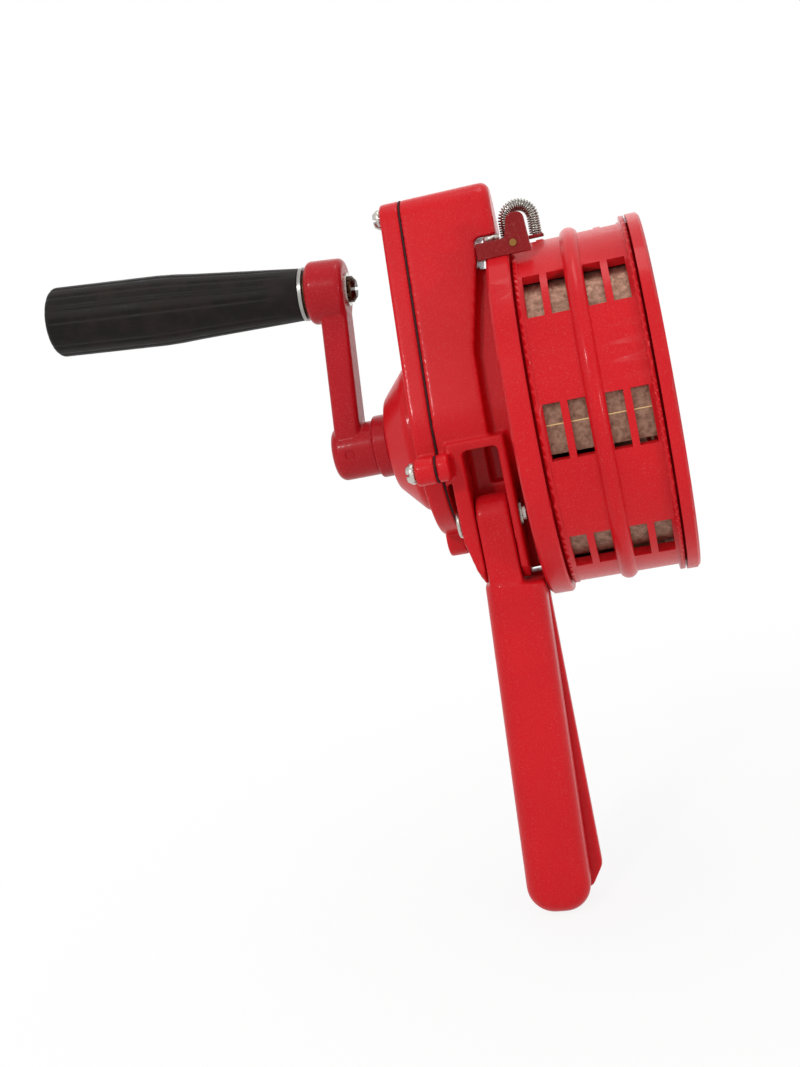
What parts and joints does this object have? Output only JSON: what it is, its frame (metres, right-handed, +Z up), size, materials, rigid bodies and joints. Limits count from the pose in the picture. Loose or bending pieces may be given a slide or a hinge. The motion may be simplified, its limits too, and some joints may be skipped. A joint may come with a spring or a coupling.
{
  "type": "hand crank siren",
  "caption": "Hand held siren: a crank and gear train spin a slotted rotor inside a ported drum, with a folding grip below and a sprung carrying loop on top.",
  "frame": {"origin": "centre of the flat front face of the drum, on the rotor's axis", "axes": "+X along the rotor's axis out of the front face, +Z up through the gearbox and the carrying loop, -Y towards the side the grip opens to"},
  "size_m": [0.2767, 0.1632, 0.329],
  "materials": {
    "red_enamel": "glossy red enamel on cast aluminium",
    "dark_red_enamel": "glossy dark red enamel",
    "bare_steel": "turned and ground steel",
    "spring_steel": "drawn spring wire",
    "screw_steel": "zinc plated screw",
    "bronze": "sintered bronze",
    "aged_bronze": "dark bronzed steel",
    "cast_rotor": "bare sand cast aluminium",
    "black_handle": "moulded black phenolic",
    "gasket_paper": "dark sealing paper"
  },
  "bodies": {
    "casing": {"stator_drum": "red_enamel", "front_plate": "red_enamel", "back_plate": "red_enamel", "gearbox_housing": "red_enamel", "gearbox_cover": "red_enamel", "carry_bracket": "dark_red_enamel", "front_plate_screws": "screw_steel", "back_plate_screws": "screw_steel", "neck_screws": "screw_steel", "cover_screws": "screw_steel", "bracket_screws": "aged_bronze", "ear_rivet": "screw_steel", "hinge_pin": "bare_steel", "hinge_clip": "spring_steel", "front_bearing": "bare_steel", "rear_bearing": "bare_steel", "crank_bush": "bronze", "counter_bush_front": "bronze", "counter_bush_rear": "bronze", "cover_gasket": "gasket_paper", "carry_loop": "spring_steel", "carry_spring": "spring_steel"},
    "crank": {"crank_shaft": "bare_steel", "crank_gear": "bare_steel", "crank_gear_key": "bare_steel", "crank_gear_clip": "spring_steel", "crank_collar": "red_enamel", "crank_arm": "red_enamel", "crank_pin": "bare_steel", "handle_bolt": "aged_bronze", "handle_washer": "screw_steel", "handle_spacer": "aged_bronze", "handle_sleeve": "bare_steel", "handle_nut": "screw_steel"},
    "handle": {"crank_handle": "black_handle", "handle_ferrule": "screw_steel"},
    "counter": {"counter_shaft": "bare_steel", "counter_pinion": "bare_steel", "counter_gear": "bare_steel"},
    "rotor": {"rotor": "cast_rotor", "rotor_shaft": "bare_steel", "rotor_key": "bare_steel", "rotor_nut": "screw_steel", "rotor_spacer": "bare_steel", "rotor_pinion": "bare_steel"},
    "grip": {"folding_grip": "red_enamel"}
  },
  "joints": [
    {"name": "crank_spin", "type": "hinge", "parent": "casing", "child": "crank", "pos_m": [-0.1, 0, 0], "axis": [1, 0, 0], "continuous": true},
    {"name": "counter_spin", "type": "hinge", "parent": "casing", "child": "counter", "pos_m": [-0.1, 0, 0.039], "axis": [1, 0, 0], "continuous": true},
    {"name": "rotor_spin", "type": "hinge", "parent": "casing", "child": "rotor", "pos_m": [-0.0312, 0, 0], "axis": [1, 0, 0], "continuous": true},
    {"name": "handle_spin", "type": "hinge", "parent": "crank", "child": "handle", "pos_m": [-0.14066, 0, 0.07465], "axis": [-0.9954, 0, 0.0958], "continuous": true},
    {"name": "grip_fold", "type": "hinge", "parent": "casing", "child": "grip", "pos_m": [-0.0837, -0.038, -0.0365], "axis": [-1, 0, 0], "range_deg": [0, 110]}
  ],
  "couplings": [
    {"joint": "counter_spin", "follows": "crank_spin", "ratio": -3.3333},
    {"joint": "rotor_spin", "follows": "crank_spin", "ratio": 7.5}
  ]
}
